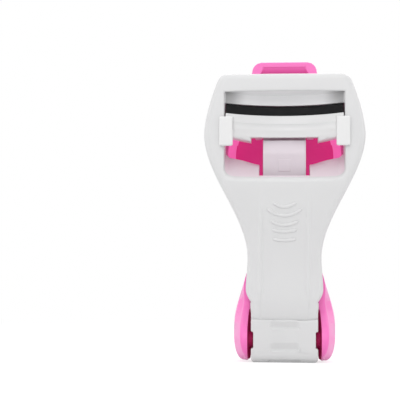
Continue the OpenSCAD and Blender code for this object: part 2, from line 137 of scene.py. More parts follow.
def alongX(name, outline, x0, x1):  # outline in y, z
    return sweep(name, [[(x, y, z) for y, z in outline] for x in (x0, x1)])


def alongY(name, outline, y0=-30, y1=30, sign=1):  # outline in x, z
    return sweep(name, [[(sign * x, y, z) for x, z in outline] for y in (y0, y1)])


def alongZ(name, outline, z0, z1):  # outline in x, y
    return sweep(name, [[(x, y, z) for x, y in outline] for z in (z0, z1)])


def block(name, low, high):
    clearSelection()
    middle = [(a + b) / 2 * mm for a, b in zip(low, high)]
    size = [(b - a) * mm for a, b in zip(low, high)]
    bpy.ops.mesh.primitive_cube_add(size=1, location=middle, scale=size)
    return settled(name)


def rod(name, x0, x1, y, z, radius, sides=48):
    clearSelection()
    bpy.ops.mesh.primitive_cylinder_add(vertices=sides, radius=radius * mm, depth=(x1 - x0) * mm,
                                        location=((x0 + x1) / 2 * mm, y * mm, z * mm),
                                        rotation=(0, pi / 2, 0))
    return settled(name)


def crossRod(name, y, z, radius, reach=20):  # reaches equally far to both sides
    return rod(name, -reach, reach, y, z, radius)


def modify(piece, kind, **settings):
    pick(piece)
    bpy.ops.object.modifier_add(type=kind)
    step = piece.modifiers[-1]
    for name, value in settings.items():
        setattr(step, name, value)
    bpy.ops.object.modifier_apply(modifier=step.name)


def combine(piece, tool, how):
    modify(piece, "BOOLEAN", operation=how, solver="EXACT", object=tool)
    bpy.data.objects.remove(tool, do_unlink=True)


def cut(piece, *tools):
    for tool in tools:
        combine(piece, tool, "DIFFERENCE")


def fuse(piece, *tools):
    for tool in tools:
        combine(piece, tool, "UNION")


def join(piece, *others):
    pick(piece)
    for other in others:
        other.select_set(True)
    bpy.ops.object.join()
    return piece


softening = dict(merge=0.04, sliver=0.02, flatAngle=0.2, stray=0.6, remerge=0.005)


# round every sharp edge and smooth the rest
def soften(piece, width, rounds=2, corner=34, smooth=38):
    s = softening
    openMesh(piece)
    bpy.ops.mesh.remove_doubles(threshold=s["merge"] * mm)
    bpy.ops.mesh.dissolve_degenerate(threshold=s["sliver"] * mm)
    bpy.ops.mesh.dissolve_limited(angle_limit=radians(s["flatAngle"]))
    bpy.ops.mesh.vert_connect_concave()
    bpy.ops.mesh.normals_make_consistent(inside=False)
    before = BVHTree.FromBMesh(bmesh.from_edit_mesh(piece.data))
    modify(piece, "BEVEL", limit_method="ANGLE", angle_limit=radians(corner), width=width * mm,
           segments=rounds, use_clamp_overlap=False)
    for vert in piece.data.vertices:  # corners that the rounding threw out go back to the surface
        near, _, _, gap = before.find_nearest(vert.co)
        if gap > s["stray"] * width * mm:
            vert.co = near
        vert.co.z = max(0, vert.co.z)
    openMesh(piece)
    bpy.ops.mesh.remove_doubles(threshold=s["remerge"] * mm)
    bpy.ops.mesh.vert_connect_concave()
    closeMesh()
    bpy.ops.object.shade_smooth_by_angle(angle=radians(smooth))
    modify(piece, "WEIGHTED_NORMAL", keep_sharp=True)
    return piece


def roundFoot(piece, half, radius):  # rounds the two lower corners, seen from the front
    outline = [(half + 1, -1), (half + 1, radius)]
    outline += curve(half - radius, radius, radius, range(0, -91, -15))
    outline.append((half - radius, -1))
    for sign in (-1, 1):
        cut(piece, alongY("corner", outline, sign=sign))


def dress(piece, material, body, slot, *nodes):
    piece.data.materials.clear()
    piece.data.materials.append(material)
    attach(piece, body)
    if nodes:
        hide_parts(*nodes)
    print("finished", piece.name, len(piece.data.polygons), "faces")


def paint(piece, finishes, choose):  # further materials, chosen face by face; here they carry painted light and shade
    for finish in finishes:
        piece.data.materials.append(finish)
    for face in piece.data.polygons:
        finish = choose(face.normal, *(face.center / mm))
        if finish:
            face.material_index = 1 + finishes.index(finish)


# finishes

def addNode(tree, kind, values=None, **settings):  # constants go straight on the sockets
    node = tree.nodes.new("ShaderNode" + kind)
    for name, value in settings.items():
        setattr(node, name, value)
    for name, value in (values or {}).items():
        node.inputs[name].default_value = value
    return node


def wire(tree, *rows):  # each row runs from a node's output to another node's input
    for source, out, target, into in rows:
        tree.links.new(source.outputs[out], target.inputs[into])


def mouldedSkin():  # slow colour drift, gloss drift and fine grain of a moulded surface
    group = bpy.data.node_groups.new("mouldedSkin", "ShaderNodeTree")
    white = (1, 1, 1, 1)
    for name, kind, value in (("Colour", "Color", white), ("Deep", "Color", white),
                              ("Gloss low", "Float", 0.3), ("Gloss high", "Float", 0.4),
                              ("Drift", "Float", 60.0), ("Grain", "Float", 3000.0)):
        socket = group.interface.new_socket(name=name, in_out="INPUT",
                                            socket_type="NodeSocket" + kind)
        socket.default_value = value
    for name, kind in (("Colour", "Color"), ("Roughness", "Float"), ("Height", "Float")):
        group.interface.new_socket(name=name, in_out="OUTPUT", socket_type="NodeSocket" + kind)
    enter, leave = group.nodes.new("NodeGroupInput"), group.nodes.new("NodeGroupOutput")
    place = addNode(group, "TexCoord")
    drift = addNode(group, "TexNoise", {"Detail": 2})
    gloss = addNode(group, "TexNoise", {"Scale": 220, "Detail": 4})
    grain = addNode(group, "TexNoise", {"Detail": 2})
    blend = addNode(group, "Mix", data_type="RGBA")
    span = addNode(group, "MapRange", {"From Min": 0.3, "From Max": 0.7})
    wire(group, (place, "Object", drift, "Vector"), (place, "Object", gloss, "Vector"),
         (place, "Object", grain, "Vector"), (enter, "Drift", drift, "Scale"),
         (enter, "Grain", grain, "Scale"), (drift, "Fac", blend, "Factor"),
         (enter, "Colour", blend, "A"), (enter, "Deep", blend, "B"), (gloss, "Fac", span, "Value"),
         (enter, "Gloss low", span, "To Min"), (enter, "Gloss high", span, "To Max"),
         (blend, "Result", leave, "Colour"), (span, "Result", leave, "Roughness"),
         (grain, "Fac", leave, "Height"))
    return group


skin = mouldedSkin()


def newMaterial(name):
    material = bpy.data.materials.new(name)
    material.use_nodes = True
    return material, material.node_tree, material.node_tree.nodes["Principled BSDF"]


def mouldedPlastic(name, colour, deep, gloss, drift=60, grain=3200, bump=0.02, specular=0.5,
                   paintedGlow=None, fadeUp=None, fadeOut=None, paintedRimSheen=None):
    material, tree, shader = newMaterial(name)
    shader.inputs["Specular IOR Level"].default_value = specular
    surface = addNode(tree, "Group",
                      {"Colour": (*colour, 1), "Deep": (*deep, 1), "Gloss low": gloss[0],
                       "Gloss high": gloss[1], "Drift": drift, "Grain": grain}, node_tree=skin)
    relief = addNode(tree, "Bump", {"Strength": bump, "Distance": 0.0002})
    wire(tree, (surface, "Colour", shader, "Base Color"),
         (surface, "Roughness", shader, "Roughness"), (surface, "Height", relief, "Height"),
         (relief, "Normal", shader, "Normal"))
    if paintedGlow:  # painted glow: an emission that stands in for light through the thin wall and bounced light
        shader.inputs["Emission Color"].default_value = (*paintedGlow[0], 1)
        shader.inputs["Emission Strength"].default_value = paintedGlow[1]
    # painted light and shade: colour, and the painted glow, change with height or out from the middle
    if fadeUp or fadeOut:
        place, apart = addNode(tree, "TexCoord"), addNode(tree, "SeparateXYZ")
        wire(tree, (place, "Object", apart, "Vector"))
        measure = (apart, "Z")
        if fadeOut:
            out = addNode(tree, "Math", operation="ABSOLUTE")
            wire(tree, (apart, "X", out, 0))
            measure = (out, 0)
        for socket, (start, end, high) in zip(("Base Color", "Emission Color"), fadeUp or fadeOut):
            span = addNode(tree, "MapRange", {"From Min": start * mm, "From Max": end * mm},
                           interpolation_type="SMOOTHSTEP")
            blend = addNode(tree, "Mix", {"B": (*high, 1)}, data_type="RGBA")
            wire(tree, (*measure, span, "Value"), (span, "Result", blend, "Factor"),
                 (blend, "Result", shader, socket))
            if socket == "Base Color":
                wire(tree, (surface, "Colour", blend, "A"))
            else:
                blend.inputs["A"].default_value = (*paintedGlow[0], 1)
    if paintedRimSheen:  # painted sheen: towards grazing views the colour is mixed paler, so rounded edges look paler than the flats
        turn = addNode(tree, "LayerWeight")
        span = addNode(tree, "MapRange", {"From Min": 0.28, "From Max": 0.7, "To Max": paintedRimSheen[1]})
        blend = addNode(tree, "Mix", {"B": (*paintedRimSheen[0], 1)}, data_type="RGBA")
        wire(tree, (turn, "Facing", span, "Value"), (span, "Result", blend, "Factor"),
             (surface, "Colour", blend, "A"), (blend, "Result", shader, "Base Color"))
    return material


def turnedSteel(name):  # fine rings round the pins and along the wire
    material, tree, shader = newMaterial(name)
    shader.inputs["Metallic"].default_value = 1
    place = addNode(tree, "TexCoord")
    stretch = addNode(tree, "Mapping", {"Scale": (6000, 300, 300)})
    rings = addNode(tree, "TexNoise", {"Scale": 1, "Detail": 3})
    tone = addNode(tree, "ValToRGB")
    dark, light = tone.color_ramp.elements
    dark.position, dark.color = 0.3, (0.5, 0.5, 0.51, 1)
    light.position, light.color = 0.7, (0.68, 0.68, 0.67, 1)
    span = addNode(tree, "MapRange", {"To Min": 0.2, "To Max": 0.36})
    wire(tree, (place, "Object", stretch, "Vector"), (stretch, "Vector", rings, "Vector"),
         (rings, "Fac", tone, "Fac"), (rings, "Fac", span, "Value"),
         (tone, "Color", shader, "Base Color"), (span, "Result", shader, "Roughness"))
    return material


whiteShell = mouldedPlastic("whiteShell", (0.72, 0.72, 0.725), (0.69, 0.69, 0.695), (0.34, 0.44))
whiteGuide = mouldedPlastic("whiteGuide", (0.80, 0.80, 0.80), (0.77, 0.77, 0.775), (0.3, 0.4))
# white plastic with the lever's pink bounce light painted in as a lilac tint
paintedBounceWhite = mouldedPlastic("paintedBounceWhite", (0.81, 0.735, 0.79), (0.78, 0.705, 0.76), (0.32, 0.42))
# the lever's pink, with a painted sheen on its rounded edges
pinkShell = mouldedPlastic("pinkShell", (0.97, 0.215, 0.58), (0.94, 0.195, 0.545), (0.3, 0.4),
                           specular=0.28, paintedRimSheen=((0.98, 0.45, 0.74), 0.6))
# painted shade and glow: the lever's inner panel is a darker, deeper copy of the pink with a painted
# glow, lighter towards the tab's tip where the glow is dimmed
pinkInsideShadeAndGlow = mouldedPlastic("pinkInsideShadeAndGlow", (0.72, 0.042, 0.26), (0.68, 0.038, 0.24), (0.4, 0.5),
                            specular=0.2, paintedGlow=((0.64, 0.038, 0.23), 0.45),
                            fadeUp=((80.5, 86.5, (0.95, 0.19, 0.54)),
                                    (70, 80, (0.08, 0.016, 0.06))))
# painted shade: a dark red copy of the pink, with a faint painted glow, for the shaded gaps beside the
# ears
pinkPaintedGapShade = mouldedPlastic("pinkPaintedGapShade", (0.5, 0.02, 0.13), (0.46, 0.018, 0.12), (0.4, 0.5),
                          specular=0.2, paintedGlow=((0.4, 0.01, 0.09), 0.12))
# painted glow on the inside's sloping sides
pinkSidesPaintedGlow = mouldedPlastic("pinkSidesPaintedGlow", (0.95, 0.2, 0.55), (0.92, 0.18, 0.52), (0.35, 0.45),
                           specular=0.3, paintedGlow=((0.85, 0.17, 0.5), 0.55))
# painted pink bounce light and shade on the white pockets, with a painted glow, fading to white above
# them
pinkShade = mouldedPlastic("pinkShade", (0.88, 0.3, 0.58), (0.84, 0.28, 0.55), (0.4, 0.5),
                           paintedGlow=((0.5, 0.13, 0.31), 0.18),
                           fadeUp=((63, 63.6, (0.72, 0.7, 0.715)), (63, 63.6, (0, 0, 0))))
# painted pink bounce light and glow on the white window floor
rampPaintedPinkBounce = mouldedPlastic("rampPaintedPinkBounce", (0.74, 0.69, 0.72), (0.71, 0.66, 0.69), (0.34, 0.44),
                          paintedGlow=((0.8, 0.5, 0.66), 0.1))
# painted glow on the jaw's wall, and painted shade darkening it towards the window's corners
jawWhitePaintedGlowShade = mouldedPlastic("jawWhitePaintedGlowShade", (0.74, 0.74, 0.745), (0.71, 0.71, 0.715), (0.34, 0.44),
                          paintedGlow=((0.9, 0.9, 0.92), 0.12),
                          fadeOut=((10.5, 17.5, (0.34, 0.34, 0.345)), (10, 15, (0, 0, 0))))
# painted shade and pink bounce on the white hood behind the lever's tab, fading to the plain white
# towards the rim
hoodShade = mouldedPlastic("hoodShade", (0.66, 0.52, 0.63), (0.63, 0.49, 0.6), (0.34, 0.44),
                           fadeOut=((12, 18.8, (0.72, 0.71, 0.72)),))
lashRubber = mouldedPlastic("lashRubber", (0.007, 0.007, 0.0075), (0.011, 0.011, 0.012),
                            (0.55, 0.7), drift=300, grain=5200, bump=0.12, specular=0.18)
pinSteel = turnedSteel("pinSteel")
print("finishes ready")


# white frame

hingeY, hingeZ = 0.5, 6.2  # the hinge pin's axis
bossRoom = dict(inner=8.65, outer=12, low=3.9, high=8.5)  # notches beside the pin
lashLine = dict(centreY=28.0, radius=27.0, jawThick=2.0)
frameShape = dict(
    height=80.3, headWidth=45, headZ=63.6, topWidth=36, topPower=1.6, waistWidth=20.6, waistZ=29,
    heelWidth=21.6, heelZ=20.2, footZ=16.6, wall=1.9, edge=1.9, crown=1.8, crownIn=0.5,
    edgeRound=0.28, footRound=1.1, headBack=9.4, handleBack=6.8, footBack=6.3, footRun=1.4,
    swellZ=22, swellRun=26, headCrown=0.25, seamDip=0.5, seamRun=3.2,
    seamSteps=(-0.25, 0.4, 0.8, 1.2, 1.6, 2.4, 3.4),
    handleFront=-1.2, headFront=-2.9, stepZ=42, stepRun=10, handleTop=36, handleRun=14,
    flat=6.7, flatGap=1.3, sideDrop=1.6, footDrop=0.3, dropZ=14, dropRun=6,
    bead=0.4, beadHalf=0.75, beadStep=0.4, beadZ=17.5, beadRun=2.5,
    sill=0.3, sillZ=44.5, sillRise=6, sillTop=54, sillFall=3, sillEnd=19, sillRun=6,
    roomFoot=[-1, 10], roomLead=0.5, roomSpare=0.4, roomTop=[51.5, 54],
    rampLead=2, rampTall=5.1, rampFront=55.6, rampBow=2.9, rampLift=2.7, rampFlat=7, rampSpan=9.7,
    rampPoints=(-12, -7.2, 0, 7.2, 12), rampBlend=0.35,
    slotHalf=7.1, slotLow=42.9, slotBack=7.5, slotTop=57,
    channelHalf=19.7, channelZ=55.9, roofLow=72.5, roofZ=78.4, windowHalf=16.7, windowZ=50.9,
    windowTop=75.2, windowBow=0.1, windowDeep=9.6, corner=2.8, cornerIn=0.9,
    windowSteps=[(-40, 0), (0, 0), (2.4, 0), (4.8, 0), (7.2, 0), (8.7, 0), (9.1, 0.05),
                 (9.4, 0.17), (9.65, 0.38), (9.85, 0.68), (10.0, 1.1), (10.1, 1.6), (40, 1.6)],
    jawZ=72.3, jawHalf=17.0, jawRoomZ=75.0, hoodHalf=19.9, hoodEdge=0.9, hoodFront=-2.55,
    hoodBack=0.2, hoodSteps=(72.8, 74.5, 76, 77.5, 78.6), coverY=4.2, coverTop=11.9, coverGap=0.02,
    armIn=7.7, armOut=9.3, armFront=4.6, armToe=2.3, armRound=6, armSeat=12.2,
    armTop=[(-5.42, 10.5), (-5.3, 14.8), (-4.7, 16.0), (-3.7, 16.8), (-1.1, 17.6), (5.2, 17.2),
            (5.2, 12.3)],
    baseThick=2.6, baseSet=0.05, bossFront=-1.9, bossBack=9, pinBore=1.12, catchX=(6.3, 7.8),
    catch=[(-2.3, 34.2), (-1, 34.2), (-1, 38.2), (6, 38.2), (6, 40), (-2.3, 40)])


def frameHalf(z):
    s = frameShape
    if z > s["headZ"]:
        up = (z - s["headZ"]) / (s["height"] - s["headZ"])
        return mix(s["headWidth"], s["topWidth"], up ** s["topPower"]) / 2
    if z > s["waistZ"]:
        return glide(s["headWidth"], s["waistWidth"], z, s["headZ"], s["waistZ"]) / 2
    if z > s["heelZ"]:
        return glide(s["waistWidth"], s["heelWidth"], z, s["waistZ"], s["heelZ"]) / 2
    if z > s["footZ"]:
        return mix(s["armOut"], s["heelWidth"] / 2,
                   arch((z - s["footZ"]) / (s["heelZ"] - s["footZ"])))
    return s["armOut"]


def frameBack(z):
    s = frameShape
    handleLow = s["footZ"] + s["footRun"]
    if z < handleLow:  # a dip at the seam with the hinge cover
        dip = s["seamDip"] * max(0, 1 - (z - s["coverTop"]) / s["seamRun"]) ** 2
        return glide(s["footBack"], s["handleBack"], z, s["coverTop"], handleLow) - dip
    return mix(s["handleBack"], s["headBack"], ease((z - s["swellZ"]) / s["swellRun"]))


def headStep(low, high, z):  # the head is deeper than the handle, and the lever follows it
    return mix(low, high, ease((z - frameShape["stepZ"]) / frameShape["stepRun"]))


# a flat with beads and sloping sides on the handle, a low crown and a sill on the head
def backFace(x, z):
    s = frameShape
    out, half = abs(x), frameHalf(z)
    handle = 1 - ease((z - s["handleTop"]) / s["handleRun"])
    slope = max(0, out - s["flat"]) / max(0.5, half - s["flat"])
    drop = s["sideDrop"] * handle * mix(s["footDrop"], 1, ease((z - s["dropZ"]) / s["dropRun"]))
    bead = s["bead"] * max(0, 1 - ((out - s["flat"]) / s["beadHalf"]) ** 2)
    bead *= handle * ease((z - s["beadZ"]) / s["beadRun"])
    sill = s["sill"] * ease((z - s["sillZ"]) / s["sillRise"])
    sill *= ease((s["sillTop"] - z) / s["sillFall"])
    sill *= ease((s["sillEnd"] - out) / s["sillRun"])
    crown = s["headCrown"] * (1 - handle) * (1 - (x / half) ** 2)
    return frameBack(z) + crown - drop * slope + bead + sill


def frameRing(z, inset):
    s = frameShape
    lower, e = s["crownIn"] * inset, s["edge"]
    half, front = frameHalf(z) - lower, headStep(s["handleFront"], s["headFront"], z)
    flat = min(s["flat"], half - e - s["flatGap"])
    steps = (s["beadHalf"], s["beadStep"], 0, -s["beadStep"], -s["beadHalf"])
    xs = [half - e, (half - e + flat) / 2] + [flat + d for d in steps] + [flat * 0.5]
    shoulder = backFace(half - e, z) - lower
    corner = [(half - e + e * sin(a), shoulder - e + e * cos(a))
              for a in map(radians, (75, 60, 45, 30, 15))]
    right = [(half, front), (half, shoulder - e)] + corner
    right += [(x, backFace(x, z) - lower) for x in xs]
    left = [(-x, y) for x, y in reversed(right)]
    return [(x, y, z) for x, y in right + [(0, backFace(0, z) - lower)] + left]


def cutBossRoom(piece, front, back):  # for the bosses inside the lever's ears
    for near, far in bothSides(bossRoom["inner"], bossRoom["outer"]):
        cut(piece, block("bossRoom", (near, front, bossRoom["low"]), (far, back, bossRoom["high"])))


def whiteFrame():
    s, lash = frameShape, lashLine
    top = s["height"] - s["crown"]
    stations = [s["coverTop"] + d for d in s["seamSteps"]] + spread(s["footZ"], s["heelZ"], 8)[:-1]
    stations += spread(s["heelZ"], s["headZ"], 44)[:-1] + spread(s["headZ"], top, 12)
    rings = [frameRing(z, 0) for z in stations]
    for a in (18, 36, 54, 72, 90):
        rings.append(frameRing(top + s["crown"] * sin(radians(a)),
                               s["crown"] * (1 - cos(radians(a)))))
    shell = sweep("whiteFrame", rings)

    # hollow of the handle, closed at its top by the ramp under the window
    rampLow = s["windowZ"] - s["rampLead"]

    def roomRing(z):
        half, back = frameHalf(z) - s["wall"], frameBack(z) - s["wall"] - s["roomSpare"]
        if z >= rampLow:
            back = mix(s["headBack"] - s["wall"], 0, (z - rampLow) / s["rampTall"])
        return [(-half, -beyond, z), (half, -beyond, z), (half, back, z), (-half, back, z)]
    zs = s["roomFoot"] + spread(s["footZ"] - s["roomLead"], s["heelZ"], 5)[:-1]
    zs += spread(s["heelZ"], rampLow, 16) + s["roomTop"]
    room = sweep("room", [roomRing(z) for z in zs])
    slot = block("slot", (-s["slotHalf"], -beyond, s["slotLow"]),
                 (s["slotHalf"], s["slotBack"], s["slotTop"]))

    # pocket for the sliding jaw's ends
    side = [(s["channelHalf"], s["channelZ"]), (s["channelHalf"], s["jawZ"])]
    side += [(min(s["channelHalf"], frameHalf(z) - s["wall"]), z)
             for z in spread(s["roofLow"], s["roofZ"], 5)]
    pocket = alongY("pocket", mirrored(side), -beyond, 0)

    # window with a rounded floor that rises towards the lever
    def windowRing(y, spare):
        rise = min(1, max(0, (s["windowDeep"] - y) / s["windowDeep"]))
        w, r = s["windowHalf"] + spare, mix(s["corner"], s["cornerIn"], rise)
        low = mix(s["windowZ"], s["rampFront"], rise) - spare
        floor = [(x, low + rise * s["rampBow"] * max(0, (abs(x) - s["rampFlat"]) / s["rampSpan"]))
                 for x in s["rampPoints"]]
        middle = low + rise * s["rampLift"] + r
        left = curve(-w + r, middle, r, range(180, 271, 15))
        right = curve(w - r, middle, r, range(270, 361, 15))
        left[-1] = (left[-1][0], mix(left[-1][1], floor[0][1], s["rampBlend"]))
        right[0] = (right[0][0], left[-1][1])
        head = s["windowTop"] + spare
        head = [(x, head + s["windowBow"] * (1 - (x / w) ** 2)) for x in spread(w, -w, 8)]
        return [(x, y, z) for x, z in left + floor + right + head]
    window = sweep("window", [windowRing(y, spare) for y, spare in s["windowSteps"]])

    # room in front of the fixed jaw, and the jaw itself
    def arcLine(radius, xs):
        return [(x, lash["centreY"] - sqrt(radius ** 2 - x ** 2)) for x in xs]
    outer, inner = lash["radius"] + lash["jawThick"] / 2, lash["radius"] - lash["jawThick"] / 2
    xs = spread(-s["windowHalf"], s["windowHalf"], 24)
    front = alongZ("front", [(xs[-1], -beyond), (xs[0], -beyond)] + arcLine(outer, xs),
                   s["jawRoomZ"], s["roofZ"])
    xs = spread(-s["jawHalf"], s["jawHalf"], 28)
    jaw = alongZ("jaw", arcLine(outer, xs) + arcLine(inner, reversed(xs)), s["jawZ"],
                 s["hoodSteps"][-1])
    cut(shell, room, slot, pocket, window, front)

    # two hinge arms, the bar between them and the hood over the jaw
    side = [(hingeY - s["armFront"], 0), (hingeY - s["armFront"], s["armToe"])]
    side += curve(hingeY, hingeZ, s["armRound"], (215, 206, 197, 188, 179, 172)) + s["armTop"]
    side += [(s["coverY"] - s["coverGap"], s["armSeat"]), (s["coverY"] - s["coverGap"], 0)]
    for near, far in bothSides(s["armIn"], s["armOut"]):
        fuse(shell, alongX("arm", side, near, far))
    barHalf = s["armOut"] - tuck
    bar = block("bar", (-barHalf, hingeY - s["armFront"] + s["baseSet"], 0),
                (barHalf, s["coverY"] - 2 * s["coverGap"], s["baseThick"]))
    fuse(shell, bar, jaw)
    side = [(min(s["hoodHalf"], frameHalf(z) - s["hoodEdge"]), z) for z in s["hoodSteps"]]
    fuse(shell, alongY("hoodWall", mirrored(side), s["hoodFront"], s["hoodBack"]))
    roundFoot(shell, s["armOut"], s["footRound"])
    for near, far in bothSides(*s["catchX"]):  # the lock's hooks pass behind these
        fuse(shell, alongX("catch", s["catch"], near, far))
    cutBossRoom(shell, s["bossFront"], s["bossBack"])
    cut(shell, crossRod("bore", hingeY, hingeZ, s["pinBore"]))
    return soften(shell, s["edgeRound"])


gripMarks = dict(width=0.48, height=0.34, lift=0.02, endRun=0.12,
                 arcs=[(3.2, 44.2, 43.0), (4.9, 42.5, 40.6), (3.9, 39.2, 38.0), (3.5, 36.8, 36.2),
                       (3.2, 34.2, 33.8)])


def roundEnd(t, run):  # a bar's girth, falling off at both ends
    return min(1, sqrt(max(0.02, (1 - abs(t)) / run)))


def gripMark(half, endZ, midZ):  # a low rounded bar, bowed down at its middle
    s = gripMarks
    rings = []
    for t in [-1, -0.985, -0.95] + spread(-0.85, 0.85, 14) + [0.95, 0.985, 1]:
        x, z = half * t, mix(midZ, endZ, t * t)
        size = roundEnd(t, s["endRun"])
        along = Vector((1, 0, 2 * t * (endZ - midZ) / half)).normalized()
        up = Vector((-along.z, 0, along.x))
        ring = []
        for a in range(0, 360, 30):
            p = Vector((x, backFace(x, z), z)) + up * s["width"] * size * cos(radians(a))
            p.y += s["height"] * size * sin(radians(a)) + s["lift"]
            ring.append(tuple(p))
        rings.append(ring)
    mark = sweep("gripMark", rings)
    bpy.ops.object.shade_smooth()
    return mark


frameAreas = [  # way a face looks and how squarely, then limits out from the middle, in y and in z
    (rampPaintedPinkBounce, (0, 0, 1), 0.3, (-1, 16.6), (-2.5, 8.6), (51, 60)),  # the window's floor, with the lever's pink bounce light painted in
    (pinkShade, (0, -1, 0), 0.8, (15, 19.75), (-0.6, 0.4), (55.5, 72)),  # pockets behind the lever, painted pink as bounce light and shade
    (jawWhitePaintedGlowShade, (0, 1, 0), 0.4, (-1, 16.5), (-1, 8), (72, 76.3)),  # thin wall of the fixed jaw, with painted glow and painted corner shade
    (hoodShade, (0, -1, 0), 0.8, (-1, 99), (-2.65, -2.45), (72, 99)),  # hood behind the lever's tab, with painted shade and pink bounce
    (jawWhitePaintedGlowShade, (0, 0, -1), 0.6, (-1, 16.8), (0, 9.2), (74.9, 75.6))]  # the window's head, with the same painted glow and corner shade


def framePaintedLight(normal, x, y, z):
    for finish, way, least, *limits in frameAreas:
        inside = all(low < v < high for v, (low, high) in zip((abs(x), y, z), limits))
        if inside and normal.dot(way) > least:
            return finish
    return None


shell = whiteFrame()
join(shell, *[gripMark(*arc) for arc in gripMarks["arcs"]])
dress(shell, whiteShell, "frame", "white_plastic", "frame")
paint(shell, [rampPaintedPinkBounce, pinkShade, jawWhitePaintedGlowShade, hoodShade], framePaintedLight)


# hinge cover at the foot of the frame

coverShape = dict(
    half=9.28, y=frameShape["coverY"], back=6.4, top=frameShape["coverTop"], foot=2.2,
    topEdge=[(0.4, 0), (0.2, 0.06), (0.06, 0.2), (0, 0.4)], edgeRound=0.3, bossBack=12,
    gripHalf=3.7, grips=[(10.5, 1.5), (4.5, 1.7)], toeHalf=4.3, toeY=5.1, toeTop=0.75)


def hingeCover():
    s = coverShape
    r, b, t = s["foot"], s["back"], s["top"]
    side = [(s["y"], 0), (s["y"], t)] + [(b - near, t - down) for near, down in s["topEdge"]]
    side += curve(b - r, r, r, (0, -18, -36, -54, -72, -90))
    side[-1] = (b - r + 0.02, 0)
    cover = alongX("hingeCover", side, -s["half"], s["half"])
    for z, tall in s["grips"]:  # finger catches, deepest at their lower edge
        w, y, high, low = s["gripHalf"], b + 0.04, z + tall / 2, z - tall / 2
        ends = mirrored([(-w - 0.6, 0), (-w - 0.2, 0.35), (-w + 0.3, 0.85), (-w + 1, 1)])
        catch = [[(x, y + 1, high + 0.4), (x, y, high + 0.4), (x, y - 0.14 * deep, high),
                  (x, y - 0.8 * deep, low + 0.15), (x, y - 0.66 * deep, low - 0.1),
                  (x, y - 0.1 * deep, low - 0.4), (x, y, low - 0.6), (x, y + 1, low - 0.6)]
                 for x, deep in ends]
        cut(cover, sweep("catch", catch))
    cut(cover, block("toe", (-s["toeHalf"], s["toeY"], -1), (s["toeHalf"], 9, s["toeTop"])))
    cutBossRoom(cover, 0, s["bossBack"])
    roundFoot(cover, s["half"], frameShape["footRound"])
    return soften(cover, s["edgeRound"])


dress(hingeCover(), whiteShell, "frame", "white_plastic", "hinge_cover")


# pink lever

leverShape = dict(
    height=86, tabWidth=18.8, tabZ=71.4, footWidth=27, bellyZ=62.4, bellyWidth=36.8, bellyLow=57,
    bellyRun=3, waistWidth=19.8, waistTop=32, waistLow=30.5, earsWidth=28.8, earsZ=10.5, heelTop=9,
    heelIn=3.8, heelTall=8.7, heelPower=2.7, tabY=-8.2, bellyY=-11.2, bellyRise=37, waistY=-8.6,
    waistFoot=20, earFront=-5.4, earRun=13.8, earRadius=5.9, earBack=6.4, backFoot=16.2, backRun=10,
    backPower=1.25, handleBack=-1.26, headBack=-2.96, wall=1.9, edge=1.9, edgeRound=0.3, tip=3.0,
    tipIn=0.95, tipBack=0.7, crown=0.5, crownZ=4, crownRun=12, earIn=9.6, earFade=15, earFadeRun=9,
    earSlope=1.9, earRound=0.9, tabWall=2.5, runOut=78.5, runOutTall=6.6, roomLow=14.6,
    roomTop=85.1, slotTop=17.7, slotRound=16.6, tongueHalf=7.6, tongueY=-2.93, tongueThick=1.8,
    tongueTop=15.6, knuckle=3.4, knuckleIn=3.6, springLean=41, springSeat=1.4, springBore=2.35,
    pinBore=1.15, ribIn=9.36, ribOut=9.75, ribY=(-2.6, -1.5), ribZ=(1.7, 16.5),
    bossIn=8.8, bossOut=10.6, boss=2.1, taperIn=9.5, taperY=(-1.3, -0.6, 5, 9), taperOut=(0.42, 0.62),
    taperSteps=[(-1, 1), (12.6, 1), (14.2, 0.75), (15.5, 0.05)],
    leastRound=0.02, edgeShare=0.35, roundShare=0.3, slopeShare=0.55, sideBow=0.12, sideMiddle=0.4,
    frontSteps=[(0.97, 9.0, 0), (0.9, 7.9, 1), (0.6, 4.6, 1), (1, 2.2, 1)],
    footSteps=[0.42, 0.7, 1.2, 2, 3, 4.2, 5.4, 6.6], earsLow=7.8, crease=[-0.3, -0.08, 0.08, 0.3],
    tabRun=4, inSlope=(0.9, 2.4), inSlopeZ=40, inSlopeRun=14, tabSlope=0.6, slopeDeep=1.3,
    tongueSteps=(15.4, 13, 11, 9, 7.4), tongueLap=0.8, seatNear=2.4, seatFar=12, shellBack=-0.7,
    lugFoot=[(-7.0, 18.9), (-7.0, 13.9)], nick=[(-1.0, -12, 12.9), (1.0, -4.2, 14.6)],
    linkY=-4.08, linkZ=16.71, lug=2.3, lugIn=4.6, lugOut=6.4, linkBore=1.22, linkBoreHalf=7.4,
    openWidth=13.2, openHeight=24.2, openZ=25.9,
    openRim=[(-20, 1.3), (-9.3, 1.3), (-9.0, 1.0), (-8.7, 0.66), (-8.4, 0.38), (-8.1, 0.18),
             (-7.7, 0.05), (-7.2, 0), (-6.3, 0)])


def leverHalf(z):
    s = leverShape
    if z > s["tabZ"]:
        up = min(1, (z - s["tabZ"]) / (s["height"] - s["tip"] - s["tabZ"]))
        return mix(s["footWidth"], s["tabWidth"], up) / 2
    if z > s["bellyLow"]:
        down = (s["tabZ"] - z) / (s["tabZ"] - s["bellyZ"] + s["bellyRun"])
        return mix(s["footWidth"], s["bellyWidth"], arch(down)) / 2
    if z > s["waistLow"]:
        return glide(s["bellyWidth"], s["waistWidth"], z, s["bellyLow"], s["waistTop"]) / 2
    if z > s["heelTop"]:
        return glide(s["waistWidth"], s["earsWidth"], z, s["waistLow"], s["earsZ"]) / 2
    power = s["heelPower"]
    out = max(0, 1 - ((s["heelTop"] - z) / s["heelTall"]) ** power) ** (1 / power)
    return s["earsWidth"] / 2 - s["heelIn"] + s["heelIn"] * out


def earReach(z):
    return sqrt(max(0, leverShape["earRadius"] ** 2 - (z - hingeZ) ** 2))


